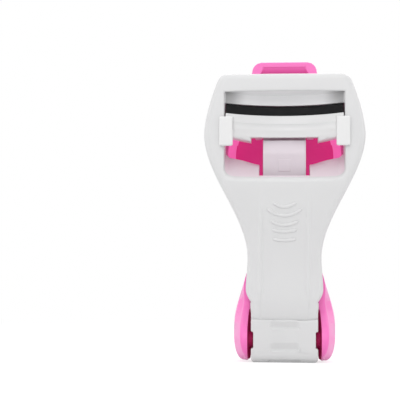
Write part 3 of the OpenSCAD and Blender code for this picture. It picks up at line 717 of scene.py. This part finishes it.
def leverFront(z):
    s = leverShape
    if z > s["tabZ"]:
        return s["tabY"]
    if z > s["bellyZ"]:
        return mix(s["bellyY"], s["tabY"], (z - s["bellyZ"]) / (s["tabZ"] - s["bellyZ"]))
    if z > s["waistFoot"]:
        return glide(s["waistY"], s["bellyY"], z, s["bellyRise"], s["bellyZ"])
    if z > hingeZ:
        return mix(s["earFront"], s["waistY"], arch((z - hingeZ) / s["earRun"]))
    return hingeY - earReach(z)


def leverBack(z):
    s = leverShape
    if z > s["backFoot"]:
        return headStep(s["handleBack"], s["headBack"], z)
    if z > hingeZ:
        return mix(s["earBack"], s["handleBack"],
                   ease((z - hingeZ) / s["backRun"]) ** s["backPower"])
    return hingeY + earReach(z)


def tongueFront(z):  # the tongue between the slots runs back to the hinge
    s = leverShape
    return glide(s["tongueY"], leverFront(s["slotTop"]) - 0.5, z, hingeZ, s["slotTop"])


def leverRing(z, inset):
    s = leverShape
    half, f = leverHalf(z) - s["tipIn"] * inset, leverFront(z) + s["tipBack"] * inset
    b = leverBack(z)
    e = min(s["edge"], s["edgeShare"] * (b - f))
    # the ears' outsides slope in towards the back
    ear = 1 - ease((z - s["earFade"]) / s["earFadeRun"])
    eb = max(s["leastRound"], min(s["earRound"], s["roundShare"] * (b - f)) * ear)
    slope = min(s["earSlope"], s["roundShare"] * (b - f),
                s["slopeShare"] * max(0, half - s["earIn"])) * ear
    crown = s["crown"] * ease((z - s["crownZ"]) / s["crownRun"])
    quarter = [radians(v) for v in (0, 18, 36, 54, 72, 90)]
    right = [(half - slope - eb + eb * sin(a), b - eb + eb * cos(a)) for a in quarter]
    right.append((half - s["sideBow"] * slope, mix(b - eb, f + e, s["sideMiddle"])))
    right += [(half - e + e * cos(a), f + e - e * sin(a)) for a in quarter]
    drop = tongueFront(z) - f + crown if z < s["slotTop"] else 0
    reach = half - e
    for share, most, sunk in s["frontSteps"]:
        x = min(share * reach, most)
        right.append((x, f - crown * (1 - (x / reach) ** 2) + sunk * drop))
    left = [(-x, y) for x, y in reversed(right)]
    return [(x, y, z) for x, y in right + [(0, f - crown + drop)] + left]


def ovalRing(width, height, y, middle, point=1.0, count=56):
    ring = []
    for i in range(count):
        a = 2 * pi * i / count
        c = abs(cos(a)) ** point * (1 if cos(a) > 0 else -1)
        ring.append((width / 2 * c, y, middle + height / 2 * sin(a)))
    return ring


def pinkLever():
    s = leverShape
    top = s["height"] - s["tip"]
    zs = s["footSteps"] + spread(s["earsLow"], s["waistLow"], 15)[:-1]
    zs += spread(s["waistLow"], s["bellyZ"] + s["crease"][0], 32)
    zs += [s["bellyZ"] + d for d in s["crease"][1:]]
    zs += spread(s["bellyZ"] + 1.2, s["tabZ"] - 1.2, 6)
    zs += [s["tabZ"] + d for d in s["crease"]]
    zs += spread(s["tabZ"] + 1.4, top, 8)
    rings = [leverRing(z, 0) for z in zs]
    for a in (15, 30, 45, 60, 88):
        rings.append(leverRing(top + s["tip"] * sin(radians(a)), s["tip"] * (1 - cos(radians(a)))))
    lever = sweep("pinkLever", rings)

    def roomRing(z):  # the inside slopes at its sides, and runs out towards the tab's tip
        tab = ease((z - s["tabZ"]) / s["tabRun"])
        w, f = leverHalf(z) - mix(s["wall"], s["tabWall"], tab), leverFront(z) + s["wall"]
        f = mix(f, leverBack(z) - 0.1, ease((z - s["runOut"]) / s["runOutTall"]))
        slope = mix(*s["inSlope"], ease((z - s["inSlopeZ"]) / s["inSlopeRun"]))
        slope *= 1 - s["tabSlope"] * tab
        if z < s["waistFoot"]:
            w = min(w, s["earIn"])
        side = [(-w, 20), (-w, f + s["slopeDeep"] * slope), (-w + slope, f)]
        return [(x, y, z) for x, y in mirrored(side)]
    zs = spread(s["roomLow"], s["waistLow"], 8)[:-1] + spread(s["waistLow"], s["bellyZ"], 20)
    zs += spread(s["bellyZ"] + 1, s["tabZ"], 4) + spread(s["tabZ"] + 1.5, s["roomTop"], 11)
    room = sweep("room", [roomRing(z) for z in zs])
    behind = [(tongueFront(z) + s["tongueThick"], z) for z in spread(hingeZ, s["tongueTop"], 8)]
    outline = [(beyond, -1), (beyond, s["tongueTop"])] + behind[::-1]
    outline += [(-beyond, hingeZ), (-beyond, -1)]
    cut(lever, room, alongX("middle", outline, -s["earIn"], s["earIn"]))
    for sign in (-1, 1):  # slots that the frame's arms stand in
        x = sign * (s["tongueHalf"] + s["earIn"]) / 2
        r = (s["earIn"] - s["tongueHalf"]) / 2
        outline = curve(x, s["slotRound"], r, range(0, 181, 15)) + [(x - r, -2), (x + r, -2)]
        cut(lever, alongY("slot", outline))

    # the ears' insides open towards the back, with a rib and a boss round the pin
    for sign in (-1, 1):
        x, wide = s["taperIn"], s["earIn"]
        front, bend, back, rear = s["taperY"]
        taper = []
        for z, k in s["taperSteps"]:
            small, full = [wide + out * k for out in s["taperOut"]]
            outline = [(x, front), (wide, front), (small, bend), (full, back), (full, rear), (x, rear)]
            taper.append([(sign * px, y, z) for px, y in outline])
        cut(lever, sweep("taper", taper))
        near, far = sorted((sign * s["ribIn"], sign * s["ribOut"]))
        fuse(lever, block("rib", *zip((near, far), s["ribY"], s["ribZ"])))
        near, far = sorted((sign * s["bossIn"], sign * s["bossOut"]))
        fuse(lever, rod("boss", near, far, hingeY, hingeZ, s["boss"]))

    # tongue with the hinge's knuckles, and a seat behind it for the spring's leg
    lean = radians(s["springLean"])

    def seat(k):
        y, z = hingeY + s["springSeat"] * cos(lean), hingeZ + s["springSeat"] * sin(lean)
        return (y - k * sin(lean), z + k * cos(lean))
    side = [(tongueFront(z) + s["tongueLap"], z) for z in s["tongueSteps"]]
    side += [seat(s["seatNear"]), seat(s["seatFar"])]
    tongue = alongX("tongue", side, -s["tongueHalf"] + 2 * tuck, s["tongueHalf"] - 2 * tuck)
    for near, far in bothSides(s["knuckleIn"], s["tongueHalf"]):
        fuse(tongue, rod("knuckle", near, far, hingeY, hingeZ, s["knuckle"], 64))
    shellFront = rod("shellFront", -s["knuckleIn"] - 0.1, s["knuckleIn"] + 0.1, hingeY, hingeZ,
                     s["knuckle"], 64)
    cut(shellFront, block("behind", (-9, s["shellBack"], 0), (9, 9, 20)))
    fuse(tongue, shellFront)
    fuse(lever, tongue)
    lug = curve(s["linkY"], s["linkZ"], s["lug"], range(-120, 121, 20))
    lug += s["lugFoot"]
    for near, far in bothSides(s["lugIn"], s["lugOut"]):  # lugs for the push link's lower pin
        fuse(lever, alongX("lug", lug, near, far))

    # oval opening with a soft rim
    mouth = [ovalRing(s["openWidth"] + 2 * spare, s["openHeight"] + 2 * spare, y,
                      s["openZ"] + 0.05 * spare) for y, spare in s["openRim"]]
    cut(lever, sweep("mouth", mouth), block("nick", *s["nick"]))
    cut(lever, crossRod("bore", hingeY, hingeZ, s["pinBore"]),
        crossRod("linkBore", s["linkY"], s["linkZ"], s["linkBore"], s["linkBoreHalf"]),
        crossRod("springBore", hingeY, hingeZ, s["springBore"], s["knuckleIn"]))
    return soften(lever, s["edgeRound"])


def leverPaintedLight(normal, x, y, z):
    out, deep = abs(x), leverBack(z) - y
    within = z > 17 and y > leverFront(z) + 1.0 and out < leverHalf(z) - 1.7
    tab = z > 76
    # the panel inside, with painted shade and painted glow
    if within and normal.y > (0.45 if tab else 0.75) and deep > (0.12 if tab else 0.6):
        return pinkInsideShadeAndGlow
    if within and z > 40 and normal.y > 0.2 and deep > 0.3:  # its sloping sides, with a painted glow
        return pinkSidesPaintedGlow
    # the ears' inner walls, painted dark as the shade in the narrow gaps
    if z < 18 and normal.x * x < 0 and abs(normal.x) > 0.8 and 9.3 < out < 10.5:
        return pinkPaintedGapShade
    if z < 17.5 and 8.7 < out < 10.3 and y > -3.2 and deep > 0.2:  # ribs and bosses on them, painted with the same gap shade
        return pinkPaintedGapShade
    return None


lever = pinkLever()
dress(lever, pinkShell, "lever", "pink_plastic", "lever")
paint(lever, [pinkInsideShadeAndGlow, pinkSidesPaintedGlow, pinkPaintedGapShade], leverPaintedLight)


# lock button on its slide

buttonShape = dict(
    width=12.2, length=19.0, z=23.7, point=1.2, ridges=[26.6, 25.1, 23.6, 22.1, 20.6],
    ridgeHalf=3.0, ridgeY=-9.9, ridgeHigh=0.22, ridgeWide=0.4, ridgeBow=0.55, ridgeDrop=0.3,
    endRun=0.15, dome=[(-6.45, 0.25), (-8.9, 0), (-9.2, 0.06), (-9.45, 0.28), (-9.65, 0.7),
                       (-9.8, 1.4), (-9.9, 2.4), (-9.95, 3.6), (-9.97, 4.8)])


def lockButton():
    s = buttonShape
    button = sweep("lockButton",
                   [ovalRing(s["width"] - 2 * d, s["length"] - 2 * d, y, s["z"], s["point"])
                    for y, d in s["dome"]])
    pick(button)
    bpy.ops.object.shade_smooth_by_angle(angle=radians(50))
    ridges = []
    for z in s["ridges"]:
        rings = []
        for t in [-1, -0.97, -0.9] + spread(-0.8, 0.8, 10) + [0.9, 0.97, 1]:
            size = roundEnd(t, s["endRun"])
            middle = z - s["ridgeDrop"] + s["ridgeBow"] * (1 - t * t)
            y = s["ridgeY"] + 0.13 * t * t + 0.012 * abs(z - s["z"])
            rings.append([(s["ridgeHalf"] * t, y - s["ridgeHigh"] * size * sin(radians(a)),
                           middle + s["ridgeWide"] * size * cos(radians(a)))
                          for a in range(0, 360, 45)])
        ridges.append(sweep("ridge", rings))
        bpy.ops.object.shade_smooth()
    return join(button, *ridges)


dress(lockButton(), whiteGuide, "lock", "white_plastic", "lock_button")

slideShape = dict(
    low=(-7.5, -6.43, 20.2), high=(7.5, -5.25, 38.8), hookX=(6.4, 7.45), edgeRound=0.2,
    hook=[(-5.95, 28.3), (0.8, 28.3), (0.8, 33.6), (-0.6, 33.6), (-0.6, 29.4), (-5.95, 29.4)])


def lockSlide():
    s = slideShape
    plate = block("lockSlide", s["low"], s["high"])
    for near, far in bothSides(*s["hookX"]):
        fuse(plate, alongX("hook", s["hook"], near, far))
    return soften(plate, s["edgeRound"])


dress(lockSlide(), paintedBounceWhite, "lock", "white_plastic", "lock_slide")


# sliding lower jaw

jawShape = dict(
    barLow=61.7, barTop=69.9, barOut=2.1, barRise=0.9, barDip=0.6, webOut=16.4, webIn=14.3,
    webFront=-0.7, webLow=63.95, webTop=68.4, back=9.7, endBack=9.5, edgeRound=0.22,
    barFront=[(-0.3, 62.15), (-0.72, 62.9), (-0.8, 63.7), (-0.8, 64.3), (-1.02, 64.75),
              (-0.95, 65.6), (-0.5, 66.5), (0, 66.9)],
    blockOut=19.4, gableFoot=63.3, gableOut=69.8, gableTop=(16.6, 71.1), gableIn=70.2,
    gableY=(-2.6, -0.3), passageY=0.5, passageTop=67.7, underY=1.5, underTop=63.6,
    slope=[(5.5, 59.5), (5.5, 62.85), (-7, 63.75), (-7, 59.5)],
    wedgeIn=-0.6, wedgeOut=0.35, wedgeY=(-3.1, 9.3), wedgeZ=(61.62, 62.55), clearZ=60,
    notchHalf=9.4, notchTop=62.8, linkHalf=6.4, pivotY=-3.2, pivotZ=64.7, pivotBore=0.82,
    lug=1.45, lugThick=2, lugFoot=[(2.0, 63.2), (2.0, 67.7)],
    padHalf=1.3, padLow=68.7, padTop=72.24, padRound=0.18, padGap=0.02, padEndY=(-0.28, -0.05),
    padEnd=[(14.4, 69.4), (19.2, 69.4), (19.2, 72.7), (16.8, 72.7), (14.4, 71.8)])


# profile in radius, height, carried along the lash line and trimmed at its ends
def arcSweep(name, profile, half):
    reach = asin(min(0.95, (half + 1.2) / (lashLine["radius"] - 3)))
    turns = spread(-reach, reach, 40)
    piece = sweep(name, [[(r * sin(a), lashLine["centreY"] - r * cos(a), z) for r, z in profile]
                         for a in turns])
    for sign in (-1, 1):
        openMesh(piece)
        bpy.ops.mesh.bisect(plane_co=(sign * half * mm, 0, 0), plane_no=(sign, 0, 0),
                            use_fill=True, clear_outer=True)
        closeMesh()
    return piece


def jawSlider():
    s, r = jawShape, lashLine["radius"]
    inner, outer = r - s["barOut"], r + s["barOut"]
    groove, floor = s["padHalf"] + s["padGap"], s["padLow"] - s["padGap"]
    dip, rise = s["barTop"] - s["barDip"], s["barTop"] + s["barRise"]
    front = [(inner + d, z) for d, z in s["barFront"]]
    profile = front[-2:] + [(inner, dip), (r - groove, dip), (r - groove, floor)]
    profile += [(r + groove, floor), (r + groove, rise), (outer, rise), (outer, s["barLow"])]
    profile += [(inner + 0.2, s["barLow"])] + front[:-2]
    bar = arcSweep("jawSlider", profile, s["webOut"])
    for near, far in bothSides(s["webIn"] + 0.1, 20):
        cut(bar, block("end", (near, s["endBack"], s["clearZ"]), (far, 12, 70)))
    gable = [(s["webIn"], s["gableFoot"]), (s["blockOut"], s["gableFoot"]),
             (s["blockOut"], s["gableOut"]), s["gableTop"], (s["webIn"], s["gableIn"])]
    for sign in (-1, 1):
        near, far = sorted((sign * s["webIn"], sign * (s["webOut"] - tuck)))
        fuse(bar, block("web", (near, s["webFront"], s["webLow"]), (far, s["back"], s["webTop"])))
        fuse(bar, alongY("gable", gable, *s["gableY"], sign))
    for name, half, y, z in (("passage", s["linkHalf"], s["passageY"], s["passageTop"]),
                             ("under", s["linkHalf"], s["underY"], s["underTop"]),
                             ("notch", s["notchHalf"], 20, s["notchTop"])):
        cut(bar, block(name, (-half, -20, s["clearZ"]), (half, y, z)))
    cut(bar, alongX("slope", s["slope"], -s["notchHalf"] + tuck, s["notchHalf"] - tuck))
    near, far = s["notchHalf"] + s["wedgeIn"], s["webIn"] + s["wedgeOut"]
    wedge = [(near, 59), (far, 59), (far, s["wedgeZ"][1]), (near, s["wedgeZ"][0])]
    for sign in (-1, 1):  # the lower edge rises towards the clips
        cut(bar, alongY("wedge", wedge, *s["wedgeY"], sign))
    lug = curve(s["pivotY"], s["pivotZ"], s["lug"], range(90, 271, 15)) + s["lugFoot"]
    for near, far in bothSides(s["linkHalf"], s["linkHalf"] + s["lugThick"]):
        fuse(bar, alongX("lug", lug, near, far))
    cut(bar, crossRod("bore", s["pivotY"], s["pivotZ"], s["pivotBore"]))
    return soften(bar, s["edgeRound"])


dress(jawSlider(), whiteGuide, "slider", "white_plastic", "jaw_slider")


def lashPad():
    s, r = jawShape, lashLine["radius"]
    w = s["padHalf"]
    top = [(r + w * cos(radians(a)), s["padTop"] - 1.0 + sin(radians(a)))
           for a in range(0, 181, 15)]
    pad = arcSweep("lashPad", [(r - w, s["padLow"]), (r + w, s["padLow"])] + top, s["webOut"])
    soften(pad, s["padRound"], corner=40)
    tails = [alongY("tail", s["padEnd"], *s["padEndY"], sign) for sign in (1, -1)]
    return join(pad, *tails)  # the ends curl up and are tucked in behind the slider's gables


dress(lashPad(), lashRubber, "slider", "lash_pad", "lash_pad")

clipShape = dict(out=18.1, thick=1.2, low=59.9, high=68.1, edgeRound=0.45, pegX=15.35,
                 pegs=(64.9, 67.2), peg=0.6, pegLong=2.3, pegIn=0.85)


def guideClip(name, sign):
    s, back = clipShape, jawShape["back"]
    near, far = sorted((sign * jawShape["webIn"], sign * s["out"]))
    clip = block(name, (near, back, s["low"]), (far, back + s["thick"], s["high"]))
    for z in s["pegs"]:
        clearSelection()
        place = (sign * s["pegX"] * mm, (back - s["pegIn"]) * mm, z * mm)
        bpy.ops.mesh.primitive_cylinder_add(vertices=24, radius=s["peg"] * mm,
                                            depth=s["pegLong"] * mm, rotation=(pi / 2, 0, 0),
                                            location=place)
        fuse(clip, settled("peg"))
    return soften(clip, s["edgeRound"], rounds=3)


dress(guideClip("guideClipRight", 1), whiteGuide, "slider", "white_plastic", "clip_right")
dress(guideClip("guideClipLeft", -1), whiteGuide, "slider", "white_plastic", "clip_left")


# push link between slider and lever

linkShape = dict(
    half=6.1, lowHalf=4.3, thick=2.0, topY=-3.2, topZ=64.7, lowY=-4.2, lowZ=17.0, lineY=0.9,
    bendZ=59.3, waistZ=46.9, overlap=1, kneeZ=27, shoulderZ=62.55, topBarrel=2.0, lowBarrel=1.65,
    topBore=0.85, lowBore=0.82, edgeRound=0.25,
    stampHalf=1.75, stampLow=53.6, stampTop=57.0, stampHigh=0.12, stampRound=0.1)


def pushLink():
    s = linkShape
    h, y, b = s["thick"] / 2, s["lineY"], s["bendZ"]
    front, back = y - h, y + h
    bend = [(back + 0.2 - 0.9 * (1 - cos(a)) * 1.2, b - h + 2.4 * sin(a))
            for a in map(radians, (45, 30, 15, 0))]
    upper = [(s["topY"] - h, s["topZ"] - 1), (s["topY"] + h + 0.3, s["topZ"] + 0.8),
             (0.05, s["shoulderZ"]), (1.62, s["shoulderZ"])] + bend
    upper += [(back, b - 2.4), (back, s["waistZ"]), (front, s["waistZ"]), (front, b - 0.4),
              (front - 0.3, b + 0.5)]
    link = alongX("pushLink", upper, -s["half"], s["half"])
    high = s["waistZ"] + s["overlap"]
    lower = [(back, high), (front, high), (front, s["kneeZ"]), (s["lowY"] - h, s["lowZ"]),
             (s["lowY"] + h, s["lowZ"]), (back, s["kneeZ"])]
    fuse(link, alongX("lower", lower, -s["lowHalf"], s["lowHalf"]))
    top, low = (s["topY"], s["topZ"]), (s["lowY"], s["lowZ"])
    fuse(link, crossRod("topBarrel", *top, s["topBarrel"], s["half"] - tuck))
    fuse(link, crossRod("lowBarrel", *low, s["lowBarrel"], s["lowHalf"] - tuck))
    cut(link, crossRod("topBore", *top, s["topBore"]), crossRod("lowBore", *low, s["lowBore"]))
    soften(link, s["edgeRound"])
    stamp = block("stamp", (-s["stampHalf"], y, s["stampLow"]),
                  (s["stampHalf"], back + s["stampHigh"], s["stampTop"]))
    return join(link, soften(stamp, s["stampRound"]))


dress(pushLink(), paintedBounceWhite, "link", "white_plastic", "push_link")

for name in ("hinge_pin", "torsion_spring", "link_top_pin", "link_low_pin"):
    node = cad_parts[name]
    node.data.materials.clear()
    node.data.materials.append(pinSteel)
print("pieces ready")


# studio

studio = dict(distance=0.30, tilt=4, middle=(0, 0.004, 0.043), aim=(0.02382, 0.004, 0.04528),
              focus=1064, roll=0.35, sensor=36, photoWidth=400, clipStart=0.01, fill=0.63,
              floorSize=6, floorNear=0.09, floorFar=0.3)
panels = dict(backPanel=dict(place=(0.06, 0.62, 0.42), aim=(0, 0, 0.045), size=0.5, power=1.5),
              frontPanel=dict(place=(-0.12, -0.62, 0.42), aim=(0, 0, 0.045), size=0.5, power=1.5),
              rightPanel=dict(place=(0.6, 0.06, 0.22), aim=(0, 0, 0.045), size=0.4, power=0.45),
              leftPanel=dict(place=(-0.6, 0.06, 0.22), aim=(0, 0, 0.045), size=0.4, power=0.45),
              topPanel=dict(place=(0, 0, 0.65), aim=(0, 0, 0), size=0.5, power=1.2))


def facing(place, aim):
    return (Vector(aim) - Vector(place)).to_track_quat("-Z", "Y").to_euler()


def lamp(name, place, aim, size, power):
    clearSelection()
    bpy.ops.object.light_add(type="AREA", location=place)
    light = bpy.context.object
    light.name = name
    light.data.shape = "SQUARE"
    light.data.size = size
    light.data.energy = power
    light.rotation_euler = facing(place, aim)


def cameraRay(tree):  # what the camera and reflections see, apart from what lights the object
    path = addNode(tree, "LightPath")
    total = addNode(tree, "Math", operation="ADD")
    both = addNode(tree, "Math", operation="ADD", use_clamp=True)
    wire(tree, (path, "Is Camera Ray", total, 0), (path, "Is Glossy Ray", total, 1),
         (total, 0, both, 0), (path, "Is Transmission Ray", both, 1))
    return both


def whiteWorld():
    world = bpy.data.worlds.new("whiteWorld")
    scene.world = world
    world.use_nodes = True
    tree = world.node_tree
    lit = tree.nodes["Background"]
    lit.inputs["Color"].default_value = (1, 1, 1, 1)
    lit.inputs["Strength"].default_value = studio["fill"]
    seen = addNode(tree, "Background", {"Color": (1, 1, 1, 1), "Strength": 1})
    pickRay = addNode(tree, "MixShader")
    wire(tree, (cameraRay(tree), 0, pickRay, 0), (lit, 0, pickRay, 1), (seen, 0, pickRay, 2),
         (pickRay, 0, tree.nodes["World Output"], "Surface"))


def paleFloor():
    clearSelection()
    bpy.ops.mesh.primitive_plane_add(size=studio["floorSize"], location=(0, 0, 0))
    floor = bpy.context.object
    floor.name = "paleFloor"
    material, tree, shader = newMaterial("paleFloor")
    tree.nodes.remove(shader)
    matte = addNode(tree, "BsdfDiffuse", {"Color": (0.8, 0.8, 0.8, 1)})
    thin = addNode(tree, "BsdfDiffuse", {"Color": (0.4, 0.4, 0.4, 1)})
    glow = addNode(tree, "Emission", {"Strength": 0.68})
    near = addNode(tree, "AddShader")
    far = addNode(tree, "Emission", {"Strength": 1})
    place = addNode(tree, "TexCoord")
    length = addNode(tree, "VectorMath", operation="LENGTH")
    fade = addNode(tree, "MapRange",
                   {"From Min": studio["floorNear"], "From Max": studio["floorFar"]},
                   interpolation_type="SMOOTHSTEP")
    seen = addNode(tree, "MixShader")  # shadow close to the object, plain white further off
    pickRay = addNode(tree, "MixShader")
    wire(tree, (place, "Object", length, 0), (length, "Value", fade, "Value"), (thin, 0, near, 0),
         (glow, 0, near, 1), (fade, "Result", seen, 0), (near, 0, seen, 1), (far, 0, seen, 2),
         (cameraRay(tree), 0, pickRay, 0), (matte, 0, pickRay, 1), (seen, 0, pickRay, 2),
         (pickRay, 0, tree.nodes["Material Output"], "Surface"))
    floor.data.materials.append(material)


whiteWorld()
paleFloor()
for name, panel in panels.items():
    lamp(name, **panel)

clearSelection()
tilt = radians(studio["tilt"])
middle = Vector(studio["middle"])
bpy.ops.object.camera_add(location=middle + studio["distance"] * Vector((0, cos(tilt), -sin(tilt))))
camera = bpy.context.object
camera.name = "photoCamera"
camera.data.sensor_width = studio["sensor"]
# focus is in the photo's pixels
camera.data.lens = studio["focus"] * studio["sensor"] / studio["photoWidth"]
camera.rotation_euler = facing(camera.location, studio["aim"])
camera.rotation_euler.rotate_axis("Z", radians(studio["roll"]))
camera.data.clip_start = studio["clipStart"]
scene.camera = camera
scene.view_settings.view_transform = "Standard"
print("studio ready")
